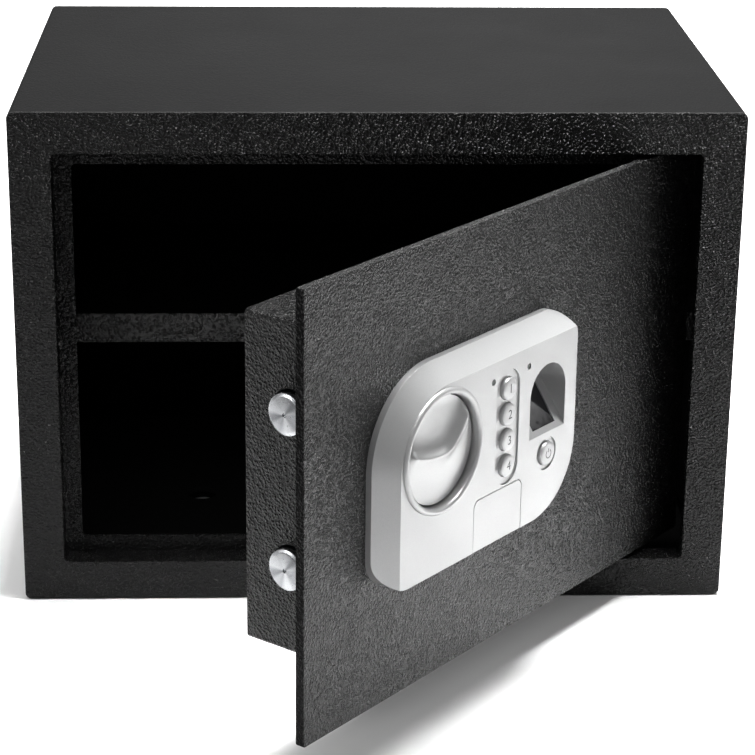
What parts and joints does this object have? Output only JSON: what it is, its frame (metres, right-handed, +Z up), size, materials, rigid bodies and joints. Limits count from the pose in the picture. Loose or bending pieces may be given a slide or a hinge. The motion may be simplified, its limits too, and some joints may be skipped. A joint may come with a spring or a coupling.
{
  "type": "home safe",
  "caption": "Black steel safe with a door on the right, two round locking bolts and a silver panel with a turn knob, number keys, a start key and a finger reader.",
  "frame": {"origin": "middle of the underside of the cabinet", "axes": "+X to the right seen from the front, +Y to the back, +Z up; the door stands open towards -Y"},
  "size_m": [0.35, 0.45, 0.25],
  "materials": {
    "cabinet_paint": "fine textured black powder coat, semi-gloss",
    "frame_paint": "textured black powder coat, semi-gloss",
    "door_paint": "textured black powder coat",
    "inner_paint": "dark smooth paint inside the cabinet",
    "mat_rubber": "ribbed dark mat",
    "bolt_steel": "turned bright steel with fine rings",
    "pin_steel": "plain drawn steel",
    "plated_steel": "zinc plated sheet",
    "screw_steel": "plated screw steel",
    "brass_part": "turned brass",
    "panel_plastic": "silver satin lacquer",
    "knob_plastic": "silver satin lacquer",
    "key_plastic": "silver satin lacquer",
    "cover_plastic": "silver satin lacquer",
    "reader_glass": "glossy black window",
    "sensor_black": "sensor package",
    "board_green": "circuit board",
    "chip_black": "chip packages",
    "membrane_rubber": "silicone key mat",
    "led_plastic": "dark unlit lamps",
    "case_plastic": "black moulded plastic",
    "cell_wrap": "plain cell sleeves",
    "reset_plastic": "red button",
    "lead_plastic": "insulated leads",
    "ribbon_plastic": "flat grey cable",
    "coil_copper": "plated solenoid frame",
    "spring_steel": "drawn wire"
  },
  "bodies": {
    "cabinet": {"body_wrap": "cabinet_paint", "back_panel": "cabinet_paint", "front_frame": "frame_paint", "hinge_bracket_upper": "inner_paint", "hinge_bracket_lower": "inner_paint", "hinge_pin_upper": "pin_steel", "hinge_pin_lower": "pin_steel", "hinge_washers": "brass_part", "shelf": "inner_paint", "shelf_ledges": "inner_paint", "floor_mat": "mat_rubber"},
    "door": {"door_plate": "door_paint", "hinge_channel": "door_paint", "door_pan": "door_paint", "pan_standoffs": "plated_steel", "pan_screws": "screw_steel", "lock_chassis": "plated_steel", "guide_posts": "pin_steel", "shaft_bush": "brass_part", "solenoid_body": "coil_copper", "solenoid_spring": "spring_steel", "solenoid_leads": "lead_plastic", "panel_housing": "panel_plastic", "panel_screws": "screw_steel", "circuit_board": "board_green", "board_chips": "chip_black", "keypad_membrane": "membrane_rubber", "indicator_leds": "led_plastic", "fingerprint_window": "reader_glass", "sensor_module": "sensor_black", "override_lock": "pin_steel", "battery_box": "case_plastic", "batteries": "cell_wrap", "cover_rails": "case_plastic", "reset_switch": "case_plastic", "ribbon_cable": "ribbon_plastic"},
    "knob_set": {"knob": "knob_plastic", "knob_shaft": "pin_steel", "knob_cam": "plated_steel", "cam_pin": "pin_steel", "cam_clip": "spring_steel"},
    "bolt_set": {"bolt_carrier": "plated_steel", "locking_bolt_upper": "bolt_steel", "locking_bolt_lower": "bolt_steel", "bolt_screws": "screw_steel"},
    "plunger": {"solenoid_plunger": "pin_steel"},
    "key_1": {"keycap_1": "key_plastic"},
    "key_2": {"keycap_2": "key_plastic"},
    "key_3": {"keycap_3": "key_plastic"},
    "key_4": {"keycap_4": "key_plastic"},
    "start_key": {"power_key": "key_plastic"},
    "cover": {"key_cover": "cover_plastic"},
    "plug": {"lock_plug": "brass_part", "override_cam": "plated_steel"},
    "battery_hatch": {"battery_cover": "case_plastic"},
    "reset": {"reset_button": "reset_plastic"}
  },
  "joints": [
    {"name": "door_hinge", "type": "hinge", "parent": "cabinet", "child": "door", "pos_m": [0.1274, -0.0983, 0.125], "axis": [0, 0, 1], "range_deg": [-50.3, 54.7]},
    {"name": "knob_turn", "type": "hinge", "parent": "door", "child": "knob_set", "pos_m": [0.01397, -0.26264, 0.1365], "axis": [0.7694, -0.6388, 0], "range_deg": [0, 76]},
    {"name": "bolt_slide", "type": "slide", "parent": "door", "child": "bolt_set", "axis": [-0.6388, -0.7694, 0], "range_m": [0, 0.014]},
    {"name": "plunger_slide", "type": "slide", "parent": "door", "child": "plunger", "axis": [0, 0, 1], "range_m": [0, 0.005], "deforming": ["solenoid_spring"]},
    {"name": "key_cover_slide", "type": "slide", "parent": "door", "child": "cover", "axis": [0, 0, -1], "range_m": [0, 0.026]},
    {"name": "lock_turn", "type": "hinge", "parent": "door", "child": "plug", "pos_m": [0.04111, -0.22994, 0.092], "axis": [0.7694, -0.6388, 0], "range_deg": [0, 90]},
    {"name": "battery_cover_slide", "type": "slide", "parent": "door", "child": "battery_hatch", "axis": [-0.6388, -0.7694, 0], "range_m": [0, 0.066]},
    {"name": "reset_press", "type": "slide", "parent": "door", "child": "reset", "axis": [0.7694, -0.6388, 0], "range_m": [0, 0.0015], "stiffness_N_per_m": 500},
    {"name": "key_1_press", "type": "slide", "parent": "door", "child": "key_1", "axis": [-0.7694, 0.6388, 0], "range_m": [0, 0.001], "stiffness_N_per_m": 500},
    {"name": "key_2_press", "type": "slide", "parent": "door", "child": "key_2", "axis": [-0.7694, 0.6388, 0], "range_m": [0, 0.001], "stiffness_N_per_m": 500},
    {"name": "key_3_press", "type": "slide", "parent": "door", "child": "key_3", "axis": [-0.7694, 0.6388, 0], "range_m": [0, 0.001], "stiffness_N_per_m": 500},
    {"name": "key_4_press", "type": "slide", "parent": "door", "child": "key_4", "axis": [-0.7694, 0.6388, 0], "range_m": [0, 0.001], "stiffness_N_per_m": 500},
    {"name": "start_key_press", "type": "slide", "parent": "door", "child": "start_key", "axis": [-0.7694, 0.6388, 0], "range_m": [0, 0.001], "stiffness_N_per_m": 500}
  ],
  "couplings": [
    {"joint": "knob_turn", "follows": "bolt_slide", "rad_per_m": 94.746}
  ]
}
